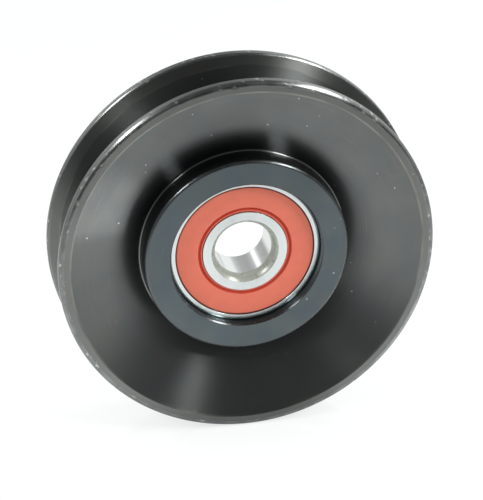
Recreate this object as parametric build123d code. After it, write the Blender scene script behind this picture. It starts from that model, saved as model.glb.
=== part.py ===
from build123d import *
from math import cos, radians, sin, tan
import os

# V-belt idler wheel on a sealed ball bearing. Millimetres, +Z up. The axis is Y, the front face looks
# towards -Y and the origin is the centre of the bearing.

# ---- Wheel: turned steel, one V groove -------------------------------------------------------------
wheel_diameter = 79.0
belt_width = 12.7          # groove width at the outer diameter, before its edges are rounded
groove_angle = 36.0        # between the two walls of the groove
groove_depth = 12.0
groove_floor_round = 1.0
rim_wall = 2.25            # rim thickness at the outer diameter, beside the groove
wheel_offset = 0.3         # from the middle of the bearing back to the middle of the wheel
rim_round = 1.0            # rounds the face side of each rim
groove_edge_round = 0.55   # rounds the groove side of each rim
rim_land = 1.2             # flat ring on the face of each rim
rim_stand_out = 1.2        # how far the rims stand out beyond the hub faces
dish_angle = 22.0          # slope of the dished sides
dish_edge_blend = 0.25
hub_diameter = 43.0
hub_edge_round = 0.65
hub_root_fillet = 0.35     # where the hub meets the dish
mouth_chamfer = 0.25
seat_corner = 0.4          # fillet in the corner of the bearing seat
shoulder_height = 1.8      # rear shoulder that the outer ring rests against

# ---- Bearing: one row of balls, rubber seals on both sides -----------------------------------------
bore_diameter = 12.0
bearing_diameter = 32.0
bearing_width = 10.0
ball_diameter = 5.953
ball_count = 7
race_clearance = 0.05      # between a ball and the bottom of each race
race_conformity = 0.52     # race radius over ball diameter
race_depth = 1.1
lead_in_radial = 1.05      # crowned lead-in at the front end of the bore
lead_in_axial = 2.05
bend_radial = 0.25         # where its two slopes meet, from the bore and from the ring's face
bend_axial = 0.7
bend_radius = 2.4
rear_bore_corner = 0.3
outer_corner = 0.6         # rounds the outer ring's two outer edges

# ---- Seal seats in the two rings -------------------------------------------------------------------
seat_wall = 1.27           # outer ring's wall around the seal
bead_start = 0.45          # depth from the ring's face to the snap groove
bead_width = 0.6
bead_height = 0.23
land_step = 0.16           # inner ring's seal land below its shoulder
land_width = 0.75
lip_groove_depth = 0.68
lip_groove_width = 0.9
lip_groove_flank = 0.2     # axial run of each sloping side of the lip's groove

# ---- Seals: rubber moulded on a steel washer -------------------------------------------------------
seal_recess = 0.1          # seal face below the faces of the rings
seal_skin = 0.45           # rubber on the outside of the washer
seal_edge_gap = 0.1
seal_edge_round = 0.3
seal_side_gap = 0.03       # on each side of the snap bead
core_thickness = 0.3
core_cover = 0.45          # rubber beyond the washer's outer edge
core_flange = 0.25         # height of the washer's turned-up edge
core_inset = 1.45          # from the inner ring's land out to the washer's inner edge
flat_inset = 1.07          # from the land out to the flat of the seal
valley_inset = 0.67        # from the land out to the bottom of the circular valley
valley_depth = 0.55
valley_blend = 0.12
ridge_inset = 0.3          # from the land out to the ridge beside it
lip_gap = 0.06             # between the lip and the inner ring
lip_thickness = 0.36

# ---- Cage: two pressed ribbon halves, riveted between the balls -------------------------------------
cage_sheet = 0.45
cage_width = 2.2
cage_bend = 0.25           # fillet where a pocket rises out of the flat
pocket_clearance = 0.1
rivet_diameter = 0.9
rivet_head_diameter = 1.5
rivet_head_height = 0.35
rivet_head_round = 0.3

# ---- Places worked out from the sizes above --------------------------------------------------------
wheel_radius = wheel_diameter / 2
hub_radius = hub_diameter / 2
wheel_half = belt_width / 2 + rim_wall
hub_half = wheel_half - rim_stand_out
wall_slope = tan(radians(groove_angle / 2))
floor_radius = wheel_radius - groove_depth
floor_half = belt_width / 2 - groove_depth * wall_slope
face_round = min(rim_round, 0.45 * rim_wall)
wall_round = min(groove_edge_round, 0.45 * rim_wall)
dish_edge_radius = wheel_radius - rim_round - rim_land
dish_root = wheel_half - (dish_edge_radius - hub_radius) * tan(radians(dish_angle))

bearing_radius = bearing_diameter / 2
bearing_half = bearing_width / 2
bore_radius = bore_diameter / 2
ball_radius = ball_diameter / 2
pitch_radius = (bore_radius + bearing_radius) / 2
race_radius = race_conformity * ball_diameter
inner_race_bottom = pitch_radius - ball_radius - race_clearance
outer_race_bottom = pitch_radius + ball_radius + race_clearance
inner_shoulder = inner_race_bottom + race_depth
outer_shoulder = outer_race_bottom - race_depth

land_radius = inner_shoulder - land_step
lip_floor_radius = land_radius - lip_groove_depth
seat_radius = bearing_radius - seat_wall
bead_radius = seat_radius + bead_height
bead_end = bead_start + bead_width
core_outer = bead_radius - core_cover
core_inner = land_radius + core_inset
core_front = seal_recess + seal_skin            # depths are measured in from the ring's face
core_back = core_front + core_thickness

cage_inner = pitch_radius - cage_width / 2
cage_outer = pitch_radius + cage_width / 2
pocket_radius = ball_radius + pocket_clearance
crown_radius = pocket_radius + cage_sheet

spacing = 360 / ball_count
ball_angles = [90 - spacing * i for i in range(ball_count)]
rivet_angles = [angle - spacing / 2 for angle in ball_angles]


def on_pitch_circle(angle):
    """Place on the ring of balls, at an angle counted from +X towards +Z."""
    turn = radians(angle)
    return Pos(pitch_radius * cos(turn), 0, pitch_radius * sin(turn))


def section(*corners):
    """Half section of a turned piece: (radius, y, blend) corners, each rounded by its blend."""
    points = [(radius, y) for radius, y, blend in corners]
    blends = [blend for radius, y, blend in corners]
    return make_face(FilletPolyline(*points, radius=blends, close=True))


def turned(half_section):
    return revolve(half_section, Axis.Y)


def deep(radius, depth, blend=0):
    """Corner of a section at a depth below the rear face of the bearing."""
    return radius, bearing_half - depth, blend


def mirrored(corners):
    """Rear corners turned into front ones, still in order from rear to front."""
    return [(radius, -y, blend) for radius, y, blend in reversed(corners)]


def both_sides(corners):
    """Corners of a section that is the same on both sides of Y = 0, given from rear to front."""
    return *corners, *mirrored(corners)


def pulley_wheel():
    rear_side = [
        (hub_radius, hub_half, hub_edge_round),
        (hub_radius, dish_root, hub_root_fillet),
        (dish_edge_radius, wheel_half, dish_edge_blend),
        (wheel_radius, wheel_half, face_round),
        (wheel_radius, belt_width / 2, wall_round),
        (floor_radius, floor_half, groove_floor_round),
    ]
    shoulder_radius = bearing_radius - shoulder_height
    front_face, rear_face = wheel_offset - hub_half, wheel_offset + hub_half
    seat = [
        (bearing_radius + mouth_chamfer, front_face, 0),
        (bearing_radius, front_face + mouth_chamfer, 0),
        (bearing_radius, bearing_half, seat_corner),
        (shoulder_radius, bearing_half, 0),
        (shoulder_radius, rear_face - mouth_chamfer, 0),
        (shoulder_radius + mouth_chamfer, rear_face, 0),
    ]
    outside = [(radius, y + wheel_offset, blend) for radius, y, blend in both_sides(rear_side)]
    return turned(section(*outside, *seat))


def outer_ring():
    """Outer race, with a snap groove for the bead of each seal."""
    rear_side = [
        deep(bearing_radius, 0, outer_corner),
        deep(seat_radius, 0),
        deep(seat_radius, bead_start),
        deep(bead_radius, bead_start),
        deep(bead_radius, bead_end),
        deep(outer_shoulder, bead_end),
    ]
    race = Pos(outer_race_bottom - race_radius, 0) * Circle(race_radius)
    return turned(section(*both_sides(rear_side)) - race)


def inner_ring():
    """Inner race, with a land and a groove for the lip of each seal."""
    groove_end = land_width + lip_groove_width
    outside = [
        deep(land_radius, 0),
        deep(land_radius, land_width),
        deep(lip_floor_radius, land_width + lip_groove_flank),
        deep(lip_floor_radius, groove_end - lip_groove_flank),
        deep(inner_shoulder, groove_end),
    ]
    rear_side = [deep(bore_radius, 0, rear_bore_corner), *outside]
    front_side = [
        deep(bore_radius, lead_in_axial),
        deep(bore_radius + bend_radial, bend_axial, bend_radius),
        deep(bore_radius + lead_in_radial, 0),
        *outside,
    ]
    race = Pos(inner_race_bottom + race_radius, 0) * Circle(race_radius)
    return turned(section(*rear_side, *mirrored(front_side)) - race)


def seal_core():
    """Steel washer with its outer edge turned up, in the back of the rear seal."""
    return turned(section(
        deep(core_inner, core_back),
        deep(core_outer, core_back),
        deep(core_outer, core_front - core_flange),
        deep(core_outer - core_thickness, core_front - core_flange),
        deep(core_outer - core_thickness, core_front),
        deep(core_inner, core_front),
    ))


def seal_rubber():
    """Rear seal: a snap bead outside, a flat face, a circular valley and a lip that dips into its groove."""
    edge_radius = seat_radius - seal_edge_gap
    lip_radius = land_radius + lip_gap
    tip_radius = lip_floor_radius + lip_gap
    tip_depth = land_width + lip_groove_flank + lip_gap
    return turned(section(
        deep(edge_radius, seal_recess, seal_edge_round),
        deep(edge_radius, bead_start + seal_side_gap),
        deep(bead_radius, bead_start + seal_side_gap),
        deep(bead_radius, bead_end - seal_side_gap),
        deep(core_outer, bead_end - seal_side_gap),
        deep(core_outer, core_front - core_flange),
        deep(core_outer - core_thickness, core_front - core_flange),
        deep(core_outer - core_thickness, core_front),
        deep(core_inner, core_front),
        deep(core_inner, core_back),
        deep(land_radius + valley_inset, tip_depth + lip_thickness, valley_blend),
        deep(tip_radius, tip_depth + lip_thickness),
        deep(tip_radius, tip_depth),
        deep(lip_radius, land_width + lip_gap),
        deep(lip_radius, seal_recess + valley_depth / 2),
        deep(land_radius + ridge_inset, seal_recess, valley_blend),
        deep(land_radius + valley_inset, seal_recess + valley_depth, valley_blend),
        deep(land_radius + flat_inset, seal_recess, valley_blend),
    ))


def ball(angle):
    return on_pitch_circle(angle) * Sphere(ball_radius)


def rivet(angle):
    """Rivet through both halves of the cage, with a rounded head on each side."""
    rear_side = [
        (0, cage_sheet + rivet_head_height, 0),
        (rivet_head_diameter / 2, cage_sheet + rivet_head_height, rivet_head_round),
        (rivet_head_diameter / 2, cage_sheet, 0),
        (rivet_diameter / 2, cage_sheet, 0),
    ]
    return on_pitch_circle(angle) * turned(section(*both_sides(rear_side)))


def pocket_crown():
    """Turned hat over one ball: a dome that bends out into a flat brim level with the ribbon."""
    foot = (crown_radius ** 2 - cage_sheet ** 2) ** 0.5
    brim = foot + 2 * cage_bend
    quarter = Rectangle(crown_radius, crown_radius, align=(Align.MIN, Align.MIN))
    outline = Circle(crown_radius) & quarter
    outline += Rectangle(brim, cage_sheet, align=(Align.MIN, Align.MIN))
    corner = outline.vertices().sort_by_distance((foot, cage_sheet))[0]
    return turned(fillet(corner, cage_bend))


def cage_band(height):
    """Ring as wide as the ribbon."""
    return turned(section(
        (cage_inner, 0, 0), (cage_outer, 0, 0), (cage_outer, height, 0), (cage_inner, height, 0)
    ))


def cage_half():
    """Rear half of the cage: a flat ribbon that rises over each ball in a domed pocket."""
    hat = pocket_crown()
    hollow = Rot(X=90) * Sphere(pocket_radius)
    hole = Rot(X=90) * Cylinder(rivet_diameter / 2, 4 * cage_sheet)
    crowns = Part() + [on_pitch_circle(angle) * hat for angle in ball_angles]
    half = cage_band(cage_sheet) + (crowns & cage_band(crown_radius))
    half -= [on_pitch_circle(angle) * hollow for angle in ball_angles]
    return half - [on_pitch_circle(angle) * hole for angle in rivet_angles]


def rear_and_front(name, rear_piece):
    """A piece of the bearing that comes twice, as mirror images on either side of the balls."""
    return {f"{name}_rear": rear_piece, f"{name}_front": mirror(rear_piece, about=Plane.XZ)}


nodes = {
    "pulley_wheel": pulley_wheel(),
    "outer_ring": outer_ring(),
    "inner_ring": inner_ring(),
    **rear_and_front("seal", seal_rubber()),
    **rear_and_front("seal_core", seal_core()),
    **rear_and_front("cage", cage_half()),
    **{f"ball_{i + 1}": ball(angle) for i, angle in enumerate(ball_angles)},
    **{f"rivet_{i + 1}": rivet(angle) for i, angle in enumerate(rivet_angles)},
}

os.makedirs("parts", exist_ok=True)
for name, piece in nodes.items():
    export_step(piece, f"parts/{name}.step")
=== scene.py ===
from math import acos, atan2, ceil, cos, pi, radians, sin, tan

import bpy
from mathutils import Matrix, Vector


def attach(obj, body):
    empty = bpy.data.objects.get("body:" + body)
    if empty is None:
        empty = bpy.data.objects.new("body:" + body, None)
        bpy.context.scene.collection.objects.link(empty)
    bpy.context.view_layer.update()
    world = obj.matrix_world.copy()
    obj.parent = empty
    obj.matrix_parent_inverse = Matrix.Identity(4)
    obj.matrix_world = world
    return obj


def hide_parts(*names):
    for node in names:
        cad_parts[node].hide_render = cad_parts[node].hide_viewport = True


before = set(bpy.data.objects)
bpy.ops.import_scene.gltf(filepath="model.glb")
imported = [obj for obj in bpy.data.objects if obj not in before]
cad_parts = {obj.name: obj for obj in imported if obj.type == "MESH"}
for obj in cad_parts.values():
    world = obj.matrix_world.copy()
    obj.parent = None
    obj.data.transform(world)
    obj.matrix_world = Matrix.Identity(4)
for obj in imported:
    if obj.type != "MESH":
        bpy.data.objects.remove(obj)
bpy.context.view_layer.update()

MM = 0.001

# V-belt idler wheel on a sealed ball bearing. The axis is Y and the front looks towards -Y.
# Sections are drawn in millimetres as (radius, y), and turned round the axis by one node tree.

# ---- Wheel ------------------------------------------------------------------------------------------
wheel_radius = 39.5
wheel_half = 8.6
wheel_offset = 0.3
rim_wall = 2.25
rim_round = 1.0
groove_edge_round = 0.55
rim_land = 1.2
groove_depth = 12.0
groove_wall_angle = 18.0
groove_floor_round = 1.0
hub_radius = 21.5
hub_half = 7.4
hub_edge_round = 0.65
hub_root_fillet = 0.35
dish_angle = 22.0
dish_edge_blend = 0.25
mouth_chamfer = 0.25
seat_corner = 0.4
shoulder_height = 1.8

# ---- Bearing ----------------------------------------------------------------------------------------
bearing_radius = 16.0
bearing_half = 5.0
bore_radius = 6.0
ball_diameter = 5.953
race_conformity = 0.52     # radius of a race as a share of the ball's diameter
race_clearance = 0.05
race_depth = 1.1
outer_corner = 0.6
seat_wall = 1.27
bead_start, bead_width, bead_height = 0.45, 0.6, 0.23
land_step, land_width = 0.16, 0.75
lip_groove_depth, lip_groove_width, lip_groove_flank = 0.68, 0.9, 0.2
lead_in_radial, lead_in_axial = 1.05, 2.05
bend_radial, bend_axial, bend_radius = 0.25, 0.7, 2.4
rear_bore_corner = 0.3

# ---- Seals ------------------------------------------------------------------------------------------
seal_recess, seal_skin = 0.1, 0.45
seal_edge_gap, seal_edge_round, seal_side_gap = 0.1, 0.3, 0.03
core_thickness, core_cover, core_flange, core_inset = 0.3, 0.45, 0.25, 1.45
flat_inset, valley_inset, ridge_inset = 1.07, 0.67, 0.3
valley_depth, valley_blend = 0.55, 0.12
lip_gap, lip_thickness = 0.06, 0.36

# ---- Drawing of the sections ------------------------------------------------------------------------
edge_break = 0.03          # even a sharp turned corner is broken by this much
arc_step = 12.0            # degrees of a rounded corner for each facet
race_facets = 28
holds = (0.07, 0.35)       # points this far from a corner keep the flat beside it flat
hold_room = 3              # a flat takes such a point if it is this many times as long
worn_run = 1.5             # a flat shorter than this between two worn corners is worn as well
lightly_worn = 0.35        # wear of a corner that handling has touched; a knocked one has 1


def rounded_corner(before, corner, after, blend):
    """Points of the arc that rounds one corner of a section."""
    before, corner, after = Vector(before), Vector(corner), Vector(after)
    inward, outward = (before - corner).normalized(), (after - corner).normalized()
    opening = acos(max(-1.0, min(1.0, inward.dot(outward))))
    reach = blend / tan(opening / 2)
    centre = corner + (inward + outward).normalized() * (blend / sin(opening / 2))
    start, end = corner + inward * reach - centre, corner + outward * reach - centre
    sweep = start.angle_signed(end)
    steps = max(2, ceil(abs(sweep) / radians(arc_step)))
    turn = atan2(start.y, start.x)
    return [
        centre + blend * Vector((cos(turn - sweep * i / steps), sin(turn - sweep * i / steps)))
        for i in range(steps + 1)
    ]


def section(corners):
    """Closed outline from (radius, y, blend) corners, with points that hold its straight runs straight.

    A corner whose blend is None stays a single point. A fourth value is the wear of a corner that knocks
    and handling have worn. The outline's points are (radius, y, wear).
    """
    count = len(corners)
    arcs = []
    for i, (radius, y, blend, *wear) in enumerate(corners):
        before, after = corners[i - 1][:2], corners[(i + 1) % count][:2]
        if blend is None:
            arc = [Vector((radius, y))]
        else:
            arc = rounded_corner(before, (radius, y), after, max(blend, edge_break))
        arcs.append([point.to_3d() + Vector((0, 0, sum(wear))) for point in arc])
    outline = []
    for arc, following in zip(arcs, arcs[1:] + arcs[:1]):
        outline += arc
        start, end = arc[-1].copy(), following[0].copy()
        short = (end - start).length < worn_run
        start.z = end.z = min(start.z, end.z) if short else 0.0
        run = end - start
        steps = [run.normalized() * reach for reach in holds if hold_room * reach < run.length]
        outline += [start + step for step in steps] + [end - step for step in reversed(steps)]
    area = sum(a.x * b.y - b.x * a.y for a, b in zip(outline, outline[1:] + outline[:1]))
    return outline if area > 0 else outline[::-1]


def mirrored(corners):
    """The same corners on the other side of Y = 0, in the order that goes on round the section."""
    return [(radius, -y, *rest) for radius, y, *rest in reversed(corners)]


def race_points(centre, start, end):
    """Arc of a ball race from one y to another, as unrounded corners."""
    a = atan2(start[1], start[0] - centre)
    b = atan2(end[1], end[0] - centre)
    if b - a > pi:
        b -= 2 * pi
    if a - b > pi:
        a -= 2 * pi
    turns = [a + (b - a) * i / race_facets for i in range(race_facets + 1)]
    return [(centre + race_radius * cos(t), race_radius * sin(t), None) for t in turns]


def deep(radius, depth, blend=0.0, wear=0.0):
    """Corner at a depth below the rear face of the bearing."""
    return radius, bearing_half - depth, blend, wear


dish_edge = wheel_radius - rim_round - rim_land
ball_radius = ball_diameter / 2
race_radius = race_conformity * ball_diameter
pitch_radius = (bore_radius + bearing_radius) / 2
inner_race_bottom = pitch_radius - ball_radius - race_clearance
outer_race_bottom = pitch_radius + ball_radius + race_clearance
inner_shoulder = inner_race_bottom + race_depth
outer_shoulder = outer_race_bottom - race_depth
seal_land_radius = inner_shoulder - land_step
lip_floor_radius = seal_land_radius - lip_groove_depth
seat_radius = bearing_radius - seat_wall
bead_radius = seat_radius + bead_height
bead_end = bead_start + bead_width
core_outer = bead_radius - core_cover
core_inner = seal_land_radius + core_inset
core_front = seal_recess + seal_skin
core_back = core_front + core_thickness


def wheel_section():
    groove_edge = wheel_half - rim_wall
    floor_radius = wheel_radius - groove_depth
    floor_half = groove_edge - groove_depth * tan(radians(groove_wall_angle))
    dish_root = wheel_half - (dish_edge - hub_radius) * tan(radians(dish_angle))
    shoulder = bearing_radius - shoulder_height
    outside = [
        (hub_radius, hub_half, hub_edge_round, lightly_worn),
        (hub_radius, dish_root, hub_root_fillet),
        (dish_edge, wheel_half, dish_edge_blend),
        (wheel_radius, wheel_half, rim_round, 1.0),
        (wheel_radius, groove_edge, groove_edge_round, 1.0),
        (floor_radius, floor_half, groove_floor_round),
    ]
    seat = [
        (bearing_radius + mouth_chamfer, wheel_offset - hub_half, 0.0, lightly_worn),
        (bearing_radius, wheel_offset - hub_half + mouth_chamfer, 0.0, lightly_worn),
        (bearing_radius, bearing_half, seat_corner),
        (shoulder, bearing_half, 0.0),
        (shoulder, wheel_offset + hub_half - mouth_chamfer, 0.0),
        (shoulder + mouth_chamfer, wheel_offset + hub_half, 0.0),
    ]
    outside += mirrored(outside)
    return section([(radius, y + wheel_offset, *rest) for radius, y, *rest in outside] + seat)


def outer_ring_section():
    centre = outer_race_bottom - race_radius
    reach = (race_radius ** 2 - (outer_shoulder - centre) ** 2) ** 0.5
    rear_side = [
        deep(bearing_radius, 0, outer_corner),
        deep(seat_radius, 0),
        deep(seat_radius, bead_start),
        deep(bead_radius, bead_start),
        deep(bead_radius, bead_end),
        deep(outer_shoulder, bead_end),
    ]
    race = race_points(centre, (outer_shoulder, reach), (outer_shoulder, -reach))
    return section(rear_side + race + mirrored(rear_side))


def inner_ring_section():
    centre = inner_race_bottom + race_radius
    reach = (race_radius ** 2 - (centre - inner_shoulder) ** 2) ** 0.5
    groove_end = land_width + lip_groove_width
    outside = [
        deep(seal_land_radius, 0),
        deep(seal_land_radius, land_width),
        deep(lip_floor_radius, land_width + lip_groove_flank),
        deep(lip_floor_radius, groove_end - lip_groove_flank),
        deep(inner_shoulder, groove_end),
    ]
    rear_side = [deep(bore_radius, 0, rear_bore_corner), *outside]
    front_side = [
        deep(bore_radius, lead_in_axial, 0.0, 1.0),
        deep(bore_radius + bend_radial, bend_axial, bend_radius, 1.0),
        deep(bore_radius + lead_in_radial, 0, 0.0, 1.0),
        *outside,
    ]
    race = race_points(centre, (inner_shoulder, reach), (inner_shoulder, -reach))
    return section(rear_side + race + mirrored(front_side))


def seal_section(side):
    """Rubber seal, on the rear (side = 1) or the front (side = -1)."""
    edge_radius = seat_radius - seal_edge_gap
    lip_radius = seal_land_radius + lip_gap
    tip_radius = lip_floor_radius + lip_gap
    tip_depth = land_width + lip_groove_flank + lip_gap
    rear = [
        deep(edge_radius, seal_recess, seal_edge_round),
        deep(edge_radius, bead_start + seal_side_gap),
        deep(bead_radius, bead_start + seal_side_gap),
        deep(bead_radius, bead_end - seal_side_gap),
        deep(core_outer, bead_end - seal_side_gap),
        deep(core_outer, core_front - core_flange),
        deep(core_outer - core_thickness, core_front - core_flange),
        deep(core_outer - core_thickness, core_front),
        deep(core_inner, core_front),
        deep(core_inner, core_back),
        deep(seal_land_radius + valley_inset, tip_depth + lip_thickness, valley_blend),
        deep(tip_radius, tip_depth + lip_thickness),
        deep(tip_radius, tip_depth),
        deep(lip_radius, land_width + lip_gap),
        deep(lip_radius, seal_recess + valley_depth / 2),
        deep(seal_land_radius + ridge_inset, seal_recess, valley_blend),
        deep(seal_land_radius + valley_inset, seal_recess + valley_depth, valley_blend),
        deep(seal_land_radius + flat_inset, seal_recess, valley_blend),
    ]
    return section([(radius, side * y, *rest) for radius, y, *rest in rear])


# ---- Node trees -------------------------------------------------------------------------------------
class Nodes:
    """Node tree with short ways to place and join nodes."""

    def __init__(self, tree):
        self.tree = tree

    def join(self, value, socket):
        """Link another socket to this one, or give it a plain value; a colour is (red, green, blue)."""
        if isinstance(value, bpy.types.NodeSocket):
            self.tree.links.new(value, socket)
        else:
            socket.default_value = (*value, 1) if socket.type == "RGBA" else value

    def node(self, kind, inputs=(), **settings):
        """Outputs of a new node."""
        new = self.tree.nodes.new(kind)
        for setting, value in settings.items():
            setattr(new, setting, value)
        for socket, value in dict(inputs).items():
            self.join(value, new.inputs[socket])
        return new.outputs

    def math(self, operation, a, b=0.0, c=0.0, **settings):
        return self.node("ShaderNodeMath", {0: a, 1: b, 2: c}, operation=operation, **settings)[0]

    def vector(self, operation, a, b, output="Vector"):
        return self.node("ShaderNodeVectorMath", {0: a, 1: b}, operation=operation)[output]

    def ramp(self, value, low, high, start=0.0, end=1.0, curve="SMOOTHSTEP"):
        """Value that goes from start at low to end at high."""
        sizes = {"Value": value, "From Min": low, "From Max": high, "To Min": start, "To Max": end}
        return self.node("ShaderNodeMapRange", sizes, interpolation_type=curve)["Result"]

    def mix(self, share, a, b):
        """Colour that goes from a to b as the share goes from nought to one."""
        return self.node("ShaderNodeMix", {"Factor": share, 6: a, 7: b}, data_type="RGBA")[2]


def into_scene(name, data):
    new = bpy.data.objects.new(name, data)
    bpy.context.scene.collection.objects.link(new)
    return new


# ---- Turning: one node tree sweeps a section round the axis -----------------------------------------
turning_radius = 50.0      # radius of the path that sections are swept along
nick_edge = 0.05           # how far the noise rises from the rim of a nick to its floor
worn_from = 0.3            # wear above this shows the worn finish


def turning_tree():
    """Node tree that turns a section into a closed solid round the Y axis, and nicks its worn corners."""
    tree = bpy.data.node_groups.new("Turning", "GeometryNodeTree")
    sockets = {}
    for name, kind, default in (
        ("Section", "Geometry", None), ("Facets", "Int", 360), ("Finish", "Material", None),
        ("Worn Finish", "Material", None), ("Nick Depth", "Float", 0.0), ("Nick Size", "Float", 0.001),
        ("Nick Onset", "Float", 0.6), ("Seed", "Float", 0.0),
    ):
        socket = tree.interface.new_socket(name, in_out="INPUT", socket_type="NodeSocket" + kind)
        if default is not None:
            socket.default_value = default
        sockets[name] = socket.identifier
    tree.interface.new_socket("Turned Piece", in_out="OUTPUT", socket_type="NodeSocketGeometry")

    lathe = Nodes(tree)
    node, math = lathe.node, lathe.math
    given = node("NodeGroupInput")
    outline = node("GeometryNodeMeshToCurve", {"Mesh": given["Section"]})["Curve"]
    path = node("GeometryNodeCurvePrimitiveCircle", {
        "Resolution": given["Facets"], "Radius": turning_radius * MM})["Curve"]
    swept = node("GeometryNodeCurveToMesh", {"Curve": path, "Profile Curve": outline})["Mesh"]
    standing = node("GeometryNodeTransform", {"Geometry": swept, "Rotation": (pi / 2, 0, 0)})["Geometry"]
    worn = node("GeometryNodeInputNamedAttribute", {"Name": "worn"}, data_type="FLOAT")["Attribute"]
    knocks = node("ShaderNodeTexNoise", {
        "Vector": node("GeometryNodeInputPosition")["Position"],
        "Scale": math("DIVIDE", 1.0, given["Nick Size"]),
        "Detail": 1.0, "W": given["Seed"]}, noise_dimensions="4D")["Fac"]
    rise = math("DIVIDE", math("SUBTRACT", knocks, given["Nick Onset"]), nick_edge, use_clamp=True)
    nick = math("MULTIPLY", rise, worn)
    marked = node("GeometryNodeStoreNamedAttribute", {
        "Geometry": standing, "Name": "bare", "Value": nick}, data_type="FLOAT", domain="POINT")["Geometry"]
    inward = math("MULTIPLY", math("MULTIPLY", nick, given["Nick Depth"]), -1.0)
    normal = node("GeometryNodeInputNormal")["Normal"]
    push = node("ShaderNodeVectorMath", {0: normal, "Scale": inward}, operation="SCALE")["Vector"]
    nicked = node("GeometryNodeSetPosition", {"Geometry": marked, "Offset": push})["Geometry"]
    smooth = node("GeometryNodeSetShadeSmooth", {"Geometry": nicked})["Geometry"]
    whole = node("GeometryNodeRealizeInstances", {"Geometry": smooth})["Geometry"]
    finished = node("GeometryNodeSetMaterial", {"Geometry": whole, "Material": given["Finish"]})["Geometry"]
    corner = node("FunctionNodeCompare", {"A": worn, "B": worn_from}, operation="GREATER_THAN")["Result"]
    done = node("GeometryNodeSetMaterial", {
        "Geometry": finished, "Selection": corner, "Material": given["Worn Finish"]})["Geometry"]
    node("NodeGroupOutput", {"Turned Piece": done})
    return tree, sockets


def turned(name, outline, inputs):
    """Mesh object of a turned piece, at the origin. The inputs are the turning tree's, by name."""
    drawing = bpy.data.meshes.new(name + "_section")
    points = [((p.x - turning_radius) * MM, p.y * MM, 0) for p in outline]
    drawing.from_pydata(points, [(i, (i + 1) % len(points)) for i in range(len(points))], [])
    worn = drawing.attributes.new("worn", "FLOAT", "POINT")
    worn.data.foreach_set("value", [p.z for p in outline])
    blank = into_scene(name + "_section", drawing)
    lathe = blank.modifiers.new("Turning", "NODES")
    lathe.node_group = turning
    for socket, value in inputs.items():
        lathe[turning_sockets[socket]] = value
    done = blank.evaluated_get(bpy.context.evaluated_depsgraph_get())
    mesh = bpy.data.meshes.new_from_object(done)
    mesh.name = name
    piece = into_scene(name, mesh)
    bpy.data.objects.remove(blank)
    bpy.data.meshes.remove(drawing)
    return piece


# ---- Finishes ---------------------------------------------------------------------------------------
class Finish(Nodes):
    """Node material of one finish, seen in the piece's own place."""

    def __init__(self, name, colour, metallic, roughness):
        self.material = bpy.data.materials.new(name)
        self.material.use_nodes = True
        super().__init__(self.material.node_tree)
        self.shader = self.tree.nodes["Principled BSDF"]
        self.into("Base Color", colour)
        self.into("Metallic", metallic)
        self.into("Roughness", roughness)
        self.place = self.node("ShaderNodeTexCoord")["Object"]

    def into(self, socket, value):
        self.join(value, self.shader.inputs[socket])

    def radius(self):
        """Distance from the Y axis, in millimetres."""
        across = self.vector("MULTIPLY", self.place, (1 / MM, 0, 1 / MM))
        return self.vector("LENGTH", across, (0, 0, 0), "Value")

    def depth(self):
        """Distance behind the middle of the bearing, in millimetres."""
        return self.math("DIVIDE", self.node("ShaderNodeSeparateXYZ", {0: self.place})["Y"], MM)

    def ring(self, radius, start, end, height=1.0):
        """Value that is up between two edges, each a pair of radii over which it goes up or down."""
        return self.math("MULTIPLY", self.ramp(radius, *start), self.ramp(radius, *end, height, 0.0))

    def noise(self, scale, detail=2.0, seed=0.0, place=None):
        """Clouds between nought and one, with a size of one over the scale in metres."""
        inputs = {"Vector": place or self.place, "Scale": scale, "Detail": detail, "W": seed}
        return self.node("ShaderNodeTexNoise", inputs, noise_dimensions="4D")["Fac"]

    def drift(self, cloud, start=0.0, end=1.0, spread=0.2):
        """Value that drifts between start and end with a cloud."""
        return self.ramp(cloud, 0.5 - spread, 0.5 + spread, start, end)

    def stain(self, cloud, pair, spread=0.2):
        """Colour that drifts between the two of a pair with a cloud."""
        return self.mix(self.drift(cloud, spread=spread), *pair)

    def round_marks(self, pitch, seed=0.0, drift=0.02):
        """Height of the fine rings left by turning, a pitch apart. They drift a little round the axis."""
        rings = self.node("ShaderNodeCombineXYZ", {
            "X": self.math("DIVIDE", self.radius(), pitch),
            "Y": self.math("DIVIDE", self.depth(), pitch),
        })[0]
        turn = self.vector("MULTIPLY", self.place, (drift / MM,) * 3)
        return self.noise(1.0, 1.0, seed, self.vector("ADD", rings, turn))

    def specks(self, spacing, size, share):
        """One at scattered points and nought elsewhere; the share is that of the points that are there."""
        cells = self.node("ShaderNodeTexVoronoi", {
            "Vector": self.place, "Scale": 1 / (spacing * MM)}, voronoi_dimensions="4D")
        chance = self.node("ShaderNodeSeparateColor", {0: cells["Color"]})["Red"]
        near = self.math("LESS_THAN", cells["Distance"], size / spacing)
        return self.math("MULTIPLY", near, self.math("LESS_THAN", chance, share))

    def in_groove(self, radius):
        """One on the walls and floor of the belt groove, and nought on the wheel's faces."""
        off_middle = self.math("ABSOLUTE", self.math("SUBTRACT", self.depth(), wheel_offset))
        limit = self.math("MULTIPLY_ADD", radius, groove_limit_slope, groove_limit)
        return self.math("LESS_THAN", off_middle, limit)

    def turned_gloss(self, spread):
        """Stretch highlights across the fine rings that turning leaves round the Y axis."""
        self.into("Tangent", self.node("ShaderNodeTangent", direction_type="RADIAL", axis="Y")["Tangent"])
        self.into("Anisotropic", spread)
        self.into("Anisotropic Rotation", quarter_turn)

    def bump(self, height, depth):
        """Let a height, of so many millimetres, tilt the shading."""
        inputs = {"Height": height, "Distance": depth * MM, "Strength": 1.0}
        self.into("Normal", self.node("ShaderNodeBump", inputs)["Normal"])


quarter_turn = 0.25

# A point is in the groove where its distance from the wheel's middle is below limit + slope * radius.
groove_limit, groove_limit_slope = -4.85, 0.3

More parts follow.
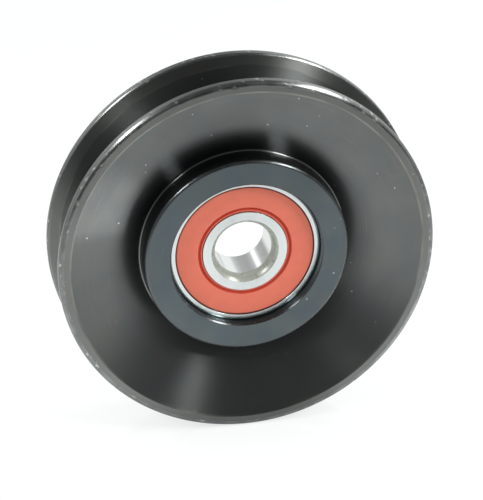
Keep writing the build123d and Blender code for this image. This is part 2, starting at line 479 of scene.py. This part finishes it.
# Edges of the coat's rings, each a pair of radii in millimetres between which one gives way to the next.
hub_wall_edge = hub_radius - 0.15, hub_radius - 0.02
dish_start_edge = hub_radius + 0.04, hub_radius + 0.12
# Ring of the painted highlight line on the fillet at the hub's root.
painted_root_highlight_edges = (hub_radius + 0.02, hub_radius + 0.1), (hub_radius + 0.35, hub_radius + 0.6)
# Ring of painted shade on the dish beside the hub.
painted_hub_shade_edges = (hub_radius + 0.3, hub_radius + 0.6), (hub_radius + 1.0, hub_radius + 8.0)
line_edges = (dish_edge - 0.45, dish_edge - 0.3), (dish_edge - 0.05, dish_edge + 0.1)
land_edge = dish_edge - 0.3, dish_edge + 0.1

# Colours of the coat. A pair is the two ends of a stain.
hub_face_colours = (0.12, 0.151, 0.167), (0.133, 0.157, 0.159)
dish_colours = (0.16, 0.174, 0.174), (0.17, 0.179, 0.172)
hub_wall_colour = (0.095, 0.1, 0.1)
# Colour of the painted highlight line at the hub's root.
painted_root_highlight_colour = (0.21, 0.22, 0.215)
# Colour of the painted shade on the dish beside the hub.
painted_hub_shade_colour = (0.02, 0.021, 0.022)
land_colour = (0.225, 0.235, 0.225)
rubbed_line_colour = (0.27, 0.27, 0.25)
streak_colour = (0.3, 0.3, 0.3)
dust_colour = (0.6, 0.6, 0.58)


def black_coat():
    """Black oxide on turned steel: bluer on the hub's face, rubbed at the dish's outer edge, dusty, with a
    painted highlight line at the hub's root and painted shade on the dish beside the hub.
    """
    coat = Finish("black_coat", (0.17, 0.175, 0.172), 1.0, 0.23)
    radius = coat.radius()
    cloud, patches = coat.noise(90.0, 3.0), coat.noise(160.0, seed=6.0)
    hub = coat.stain(patches, hub_face_colours, spread=0.15)
    hub = coat.mix(coat.ramp(radius, *hub_wall_edge), hub, hub_wall_colour)
    dish = coat.stain(patches, dish_colours, spread=0.15)
    film = coat.mix(coat.ramp(radius, *dish_start_edge), hub, dish)
    # Painted highlight: a brighter line on the fillet at the hub's root.
    film = coat.mix(coat.ring(radius, *painted_root_highlight_edges), film, painted_root_highlight_colour)
    # Painted shade: the dish is darkened half way to near black beside the hub.
    film = coat.mix(coat.ring(radius, *painted_hub_shade_edges, height=0.5), film, painted_hub_shade_colour)
    film = coat.mix(coat.ramp(radius, *land_edge), film, land_colour)
    rubbed = coat.ramp(coat.round_marks(4.0, seed=3.0, drift=0.12), 0.35, 0.6)
    line = coat.math("MULTIPLY", coat.ring(radius, *line_edges), rubbed)
    film = coat.mix(line, film, rubbed_line_colour)
    film = coat.stain(cloud, (film, coat.vector("MULTIPLY", film, (0.9, 0.9, 0.9))))
    streaks = coat.ramp(coat.round_marks(0.16, seed=7.0, drift=0.1), 0.6, 0.78, 0.0, 0.25)
    film = coat.mix(streaks, film, streak_colour)
    dust = coat.specks(spacing=1.15, size=0.2, share=0.16)
    coat.into("Base Color", coat.mix(coat.math("MULTIPLY", dust, 0.6), film, dust_colour))
    rough = coat.drift(cloud, 0.21, 0.25, spread=0.3)
    rougher_in_groove = 0.07
    coat.into("Roughness", coat.math("MULTIPLY_ADD", coat.in_groove(radius), rougher_in_groove, rough))
    coat.turned_gloss(0.9)
    coat.bump(coat.round_marks(1.3, seed=4.0), 0.001)
    return coat.material


# Edges between the worn corners: mouth of the seat, hub's edge, rims, and the rims' outermost part.
mouth_to_hub_edge = bearing_radius + 1.0, bearing_radius + 2.0
hub_to_rim_edge = hub_radius + 1.0, hub_radius + 2.0
outermost_edge = wheel_radius - 0.35, wheel_radius - 0.15

rim_colours = (0.2, 0.21, 0.21), (0.3, 0.31, 0.31)
outermost_colour = (0.22, 0.23, 0.225)
mouth_colour = (0.1, 0.105, 0.11)
hub_edge_colour = (0.135, 0.145, 0.15)
bare_steel_colour = (0.67, 0.67, 0.64)


def worn_edge():
    """The same coat rubbed thin on the corners, with bright steel in the nicks."""
    edge = Finish("worn_edge", (0.36, 0.37, 0.37), 1.0, 0.33)
    radius = edge.radius()
    rubbed = edge.drift(edge.noise(260.0, 3.0, seed=2.0))
    rim = edge.mix(edge.ramp(radius, *outermost_edge), edge.mix(rubbed, *rim_colours), outermost_colour)
    hub = edge.mix(edge.ramp(radius, *mouth_to_hub_edge), mouth_colour, hub_edge_colour)
    on_rim = edge.ramp(radius, *hub_to_rim_edge)
    nicks = edge.node("ShaderNodeAttribute", attribute_name="bare")["Fac"]
    chips = edge.ramp(edge.noise(2600.0, 1.0, seed=5.0), 0.69, 0.75, 0.0, 0.7)
    strength = edge.math("MAXIMUM", on_rim, edge.ramp(radius, *mouth_to_hub_edge, 1.0, 0.2))
    bright = edge.math("MULTIPLY", edge.math("MAXIMUM", nicks, chips), strength)
    edge.into("Base Color", edge.mix(bright, edge.mix(on_rim, hub, rim), bare_steel_colour))
    edge.into("Roughness", edge.ramp(rubbed, 0.0, 1.0, 0.25, 0.32))
    edge.turned_gloss(0.7)
    edge.bump(edge.round_marks(0.5, seed=8.0, drift=0.3), 0.004)
    return edge.material


bore_edge = bore_radius + 0.02, bore_radius + 0.1
ground_colours = (0.8, 0.86, 0.855), (0.835, 0.9, 0.895)
bore_colour = (0.74, 0.78, 0.77)


def ground_steel():
    """Ground bearing steel, smoother and a little darker in the bore."""
    steel = Finish("ground_steel", (0.82, 0.88, 0.87), 1.0, 0.22)
    ground = steel.stain(steel.round_marks(0.35, seed=1.0), ground_colours)
    past_bore = steel.ramp(steel.radius(), *bore_edge)
    steel.into("Base Color", steel.mix(past_bore, bore_colour, ground))
    rough = steel.drift(steel.noise(700.0), 0.2, 0.26)
    steel.into("Roughness", steel.math("MULTIPLY", rough, steel.ramp(past_bore, 0.0, 1.0, 0.45, 1.0)))
    steel.turned_gloss(0.9)
    steel.bump(steel.round_marks(0.4), 0.0002)
    return steel.material


scale_colours = (0.37, 0.38, 0.33), (0.43, 0.44, 0.39)


def scaled_corner():
    """Bearing steel that was turned and hardened but never ground, so its scale is left on."""
    scale = Finish("scaled_corner", (0.4, 0.41, 0.36), 0.3, 0.3)
    cloud = scale.noise(900.0, 3.0)
    scale.into("Base Color", scale.stain(cloud, scale_colours))
    scale.into("Roughness", scale.drift(cloud, 0.26, 0.34))
    scale.bump(scale.round_marks(0.3), 0.0005)
    return scale.material


ridge_radius, flat_radius = seal_land_radius + ridge_inset, seal_land_radius + flat_inset
# Ring of painted shade inside the seal's valley.
painted_valley_shade_edges = (ridge_radius, ridge_radius + 0.2), (flat_radius - 0.12, flat_radius + 0.05)
# Band of painted shade at the seal's outer edge, in the crevice against the ring.
painted_crevice_shade_edge = seat_radius - 0.45, seat_radius - 0.15
rubber_colours = (0.64, 0.14, 0.082), (0.685, 0.152, 0.092)
# Colour of the painted shade, deeper and redder, inside the seal's valley.
painted_valley_shade_colour = (0.5, 0.045, 0.02)
# Colour of the painted shade in the crevice where the seal snaps in.
painted_crevice_shade_colour = (0.16, 0.018, 0.014)


def seal_rubber():
    """Red nitrile rubber with fine moulding grain, with painted shade, deeper and redder, inside its valley
    and painted shade in the crevice where it snaps in.
    """
    rubber = Finish("seal_rubber", (0.66, 0.145, 0.085), 0.0, 0.45)
    radius = rubber.radius()
    cloud = rubber.noise(350.0, 4.0)
    face = rubber.stain(cloud, rubber_colours)
    # Painted shade: the valley between the ridge and the flat is darker and redder.
    face = rubber.mix(rubber.ring(radius, *painted_valley_shade_edges), face, painted_valley_shade_colour)
    # Painted shade: dark maroon in the crevice at the seal's outer edge.
    rubber.into("Base Color", rubber.mix(rubber.ramp(radius, *painted_crevice_shade_edge), face, painted_crevice_shade_colour))
    rubber.into("Roughness", rubber.drift(cloud, 0.4, 0.5))
    rubber.bump(rubber.noise(2600.0, 3.0), 0.02)
    return rubber.material


def polished_balls():
    """Polished chrome steel of the balls."""
    steel = Finish("polished_steel", (0.8, 0.81, 0.81), 1.0, 0.05)
    steel.into("Roughness", steel.drift(steel.noise(500.0), 0.04, 0.08))
    return steel.material


pressed_colours = (0.54, 0.54, 0.53), (0.64, 0.64, 0.62)


def pressed_steel():
    """Mild steel sheet of the cage, the rivets and the washers inside the seals."""
    steel = Finish("pressed_steel", (0.6, 0.6, 0.58), 1.0, 0.3)
    cloud = steel.noise(800.0, 4.0)
    steel.into("Base Color", steel.stain(cloud, pressed_colours))
    steel.into("Roughness", steel.drift(cloud, 0.25, 0.38))
    steel.bump(cloud, 0.004)
    return steel.material


# ---- Pieces -----------------------------------------------------------------------------------------
turning, turning_sockets = turning_tree()
coat, edge, steel = black_coat(), worn_edge(), ground_steel()
corner, rubber, balls, sheet = scaled_corner(), seal_rubber(), polished_balls(), pressed_steel()
knocked = {"Facets": 504, "Nick Depth": 0.05 * MM, "Nick Size": 0.9 * MM, "Nick Onset": 0.66, "Seed": 3.0}

for name, outline, finish, worn_finish, extra, body, node, slot in (
    ("turned_wheel", wheel_section(), coat, edge, knocked, "pulley", "pulley_wheel", "black_coat"),
    ("outer_race", outer_ring_section(), steel, steel, {}, "pulley", "outer_ring", "bearing_steel"),
    ("inner_race", inner_ring_section(), steel, corner, {}, "mount_ring", "inner_ring", "bearing_steel"),
    ("front_seal", seal_section(-1), rubber, rubber, {}, "pulley", "seal_front", "seal_rubber"),
    ("rear_seal", seal_section(1), rubber, rubber, {}, "pulley", "seal_rear", "seal_rubber"),
):
    piece = turned(name, outline, {"Finish": finish, "Worn Finish": worn_finish, **extra})
    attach(piece, body)
    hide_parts(node)

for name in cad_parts:
    for material_slot in bpy.data.objects[name].material_slots:
        material_slot.material = balls if name.startswith("ball") else sheet


# ---- Camera -----------------------------------------------------------------------------------------
view_azimuth, view_elevation = -12.3, 26.75
view_distance = 0.6186
view_centre = Vector((-0.00107, -0.00631, 0.00107))
focal_length, film_width = 216, 36     # millimetres


def direction(azimuth, elevation):
    """Unit vector at an azimuth from the front towards +X and an elevation, both in degrees."""
    azimuth, elevation = radians(azimuth), radians(elevation)
    return Vector((sin(azimuth) * cos(elevation), -cos(azimuth) * cos(elevation), sin(elevation)))


view = direction(view_azimuth, view_elevation)
lens = bpy.data.cameras.new("camera")
lens.lens, lens.sensor_width = focal_length, film_width
camera = into_scene("camera", lens)
camera.location = view_centre + view * view_distance
camera.rotation_euler = view.to_track_quat("Z", "Y").to_euler()
bpy.context.scene.camera = camera


# ---- Studio: two long soft boxes, each with a short bright end, over a glossy white table ------------
def soft_box(name, first, last, distance, width, radiance):
    """Long lamp that reaches from one direction to another, and faces the wheel."""
    first, last = direction(*first) * distance, direction(*last) * distance
    middle, run = (first + last) / 2, last - first
    lamp = bpy.data.lights.new(name, "AREA")
    lamp.shape, lamp.size, lamp.size_y = "RECTANGLE", run.length, width
    lamp.energy = radiance * pi * run.length * width
    box = into_scene(name, lamp)
    box.location = middle
    x_axis, z_axis = run.normalized(), middle.normalized()
    turn = Matrix((x_axis, z_axis.cross(x_axis), z_axis)).transposed()
    box.rotation_euler = turn.to_euler()
    box.visible_camera = False


# Azimuth and elevation of both ends in degrees, distance and width in metres, radiance.
for lamp in (
    ("left_light", (-122, 41), (-60, 38), 1.3, 0.24, 10.5),
    ("left_lamp", (-65, 39.5), (-58, 37.5), 1.2, 0.2, 18.0),
    ("right_light", (120, 42), (46, 36), 1.3, 0.24, 10.5),
    ("right_lamp", (49, 37), (43, 35), 1.2, 0.2, 50.0),
):
    soft_box(*lamp)


# ---- Table: white to the camera and dimmer in mirrors, with a soft shadow under the wheel ------------
table_side, table_near, table_far, table_top = 1.5, -0.33, 1.5, -wheel_radius * MM
seen_white = (1.07, 1.09, 1.085)
shadow_reach = 0.04, 0.075         # metres from the origin over which the shadow gives way to white
shadow_white = 0.75                # share of white that is left in the shadow
mirror_shadow_reach = 0.04, 0.056
mirror_shadow = 0.4                # brightness of the shadow, as the wheel's underside mirrors it
mirror_fall = 0.05, 0.35           # metres over which the mirrored table darkens
mirror_bright, mirror_dim = 1.05, 0.45
gloss_ior, gloss_roughness = 1.45, 0.06


def white_table():
    table = Finish("white_table", (0.9, 0.92, 0.92), 0.0, 0.5)
    table.into("Specular IOR Level", 0.0)
    ray = table.node("ShaderNodeLightPath")
    reach = table.vector("LENGTH", table.place, (0, 0, 0), "Value")
    mirrored = table.math("MULTIPLY", table.ramp(reach, *mirror_shadow_reach, mirror_shadow, 1.0),
                          table.ramp(reach, *mirror_fall, mirror_bright, mirror_dim))
    glow = table.mix(ray["Is Camera Ray"], mirrored, seen_white)
    white = table.node("ShaderNodeEmission", {"Color": glow, "Strength": 1.0})[0]
    seen = table.math("MAXIMUM", ray["Is Camera Ray"], ray["Is Glossy Ray"])
    whiteness = table.math("MULTIPLY", seen, table.ramp(reach, *shadow_reach, shadow_white, 1.0))
    base = table.node("ShaderNodeMixShader", {0: whiteness, 1: table.shader.outputs[0], 2: white})[0]
    gloss = table.node("ShaderNodeBsdfGlossy", {"Color": (1, 1, 1), "Roughness": gloss_roughness})[0]
    glance = table.node("ShaderNodeFresnel", {"IOR": gloss_ior})[0]
    surface = table.node("ShaderNodeMixShader", {0: glance, 1: base, 2: gloss})[0]
    table.join(surface, table.tree.nodes["Material Output"].inputs["Surface"])
    return table.material


table = bpy.data.meshes.new("table")
table.from_pydata([
    (-table_side, table_near, table_top), (table_side, table_near, table_top),
    (table_side, table_far, table_top), (-table_side, table_far, table_top),
], [], [(0, 1, 2, 3)])
table.materials.append(white_table())
into_scene("table", table)


# ---- Room: white to the camera, even for diffuse light, and brighter behind the wheel in mirrors -----
diffuse_light = 0.54
front_light, back_light = 0.09, 1.0
front_way, back_way, wall_way = -0.8, 0.3, 0.6     # Y of the directions where each part of the room begins
ceiling_light = 0.18
ceiling_ways = 0.6, 0.9                            # Z of the directions where the ceiling begins and ends

# The far wall is mirrored in the bore. Each stop is (X / Y of the direction, share of the peak).
wall_reach, wall_peak = 0.8, 1.6
wall_light = ((-0.6, 0.28), (-0.5, 0.28), (-0.47, 1.0), (-0.37, 1.0), (-0.34, 0.38), (-0.1, 0.29),
              (0.2, 0.33), (0.36, 0.45), (0.44, 0.68), (0.6, 0.66))

world = bpy.data.worlds.new("studio")
bpy.context.scene.world = world
world.use_nodes = True
room = Nodes(world.node_tree)
way = room.node("ShaderNodeSeparateXYZ", {0: room.node("ShaderNodeTexCoord")["Generated"]})
aside = room.math("DIVIDE", way["X"], way["Y"])
wall = room.node("ShaderNodeValToRGB", {
    "Fac": room.ramp(aside, -wall_reach, wall_reach, curve="LINEAR")})["Color"]
stops = wall.node.color_ramp.elements
while len(stops) < len(wall_light):
    stops.new(0.5)
for stop, (place, light) in zip(stops, wall_light):
    stop.position = 0.5 + place / wall_reach / 2
    stop.color = (light, light, light, 1.0)
far_wall = room.ramp(wall, 0.0, 1.0, 0.0, wall_peak, curve="LINEAR")
backdrop = room.ramp(way["Y"], front_way, back_way, front_light, back_light)
around = room.ramp(way["Y"], back_way, wall_way, backdrop, far_wall)
mirrored = room.ramp(way["Z"], *ceiling_ways, around, ceiling_light)
ray = room.node("ShaderNodeLightPath")
other_rays = room.ramp(ray["Is Glossy Ray"], 0.0, 1.0, diffuse_light, mirrored)
background = room.tree.nodes["Background"]
room.join((1, 1, 1), background.inputs["Color"])
room.join(room.ramp(ray["Is Camera Ray"], 0.0, 1.0, other_rays, 1.0), background.inputs["Strength"])

bpy.context.scene.view_settings.view_transform = "Standard"
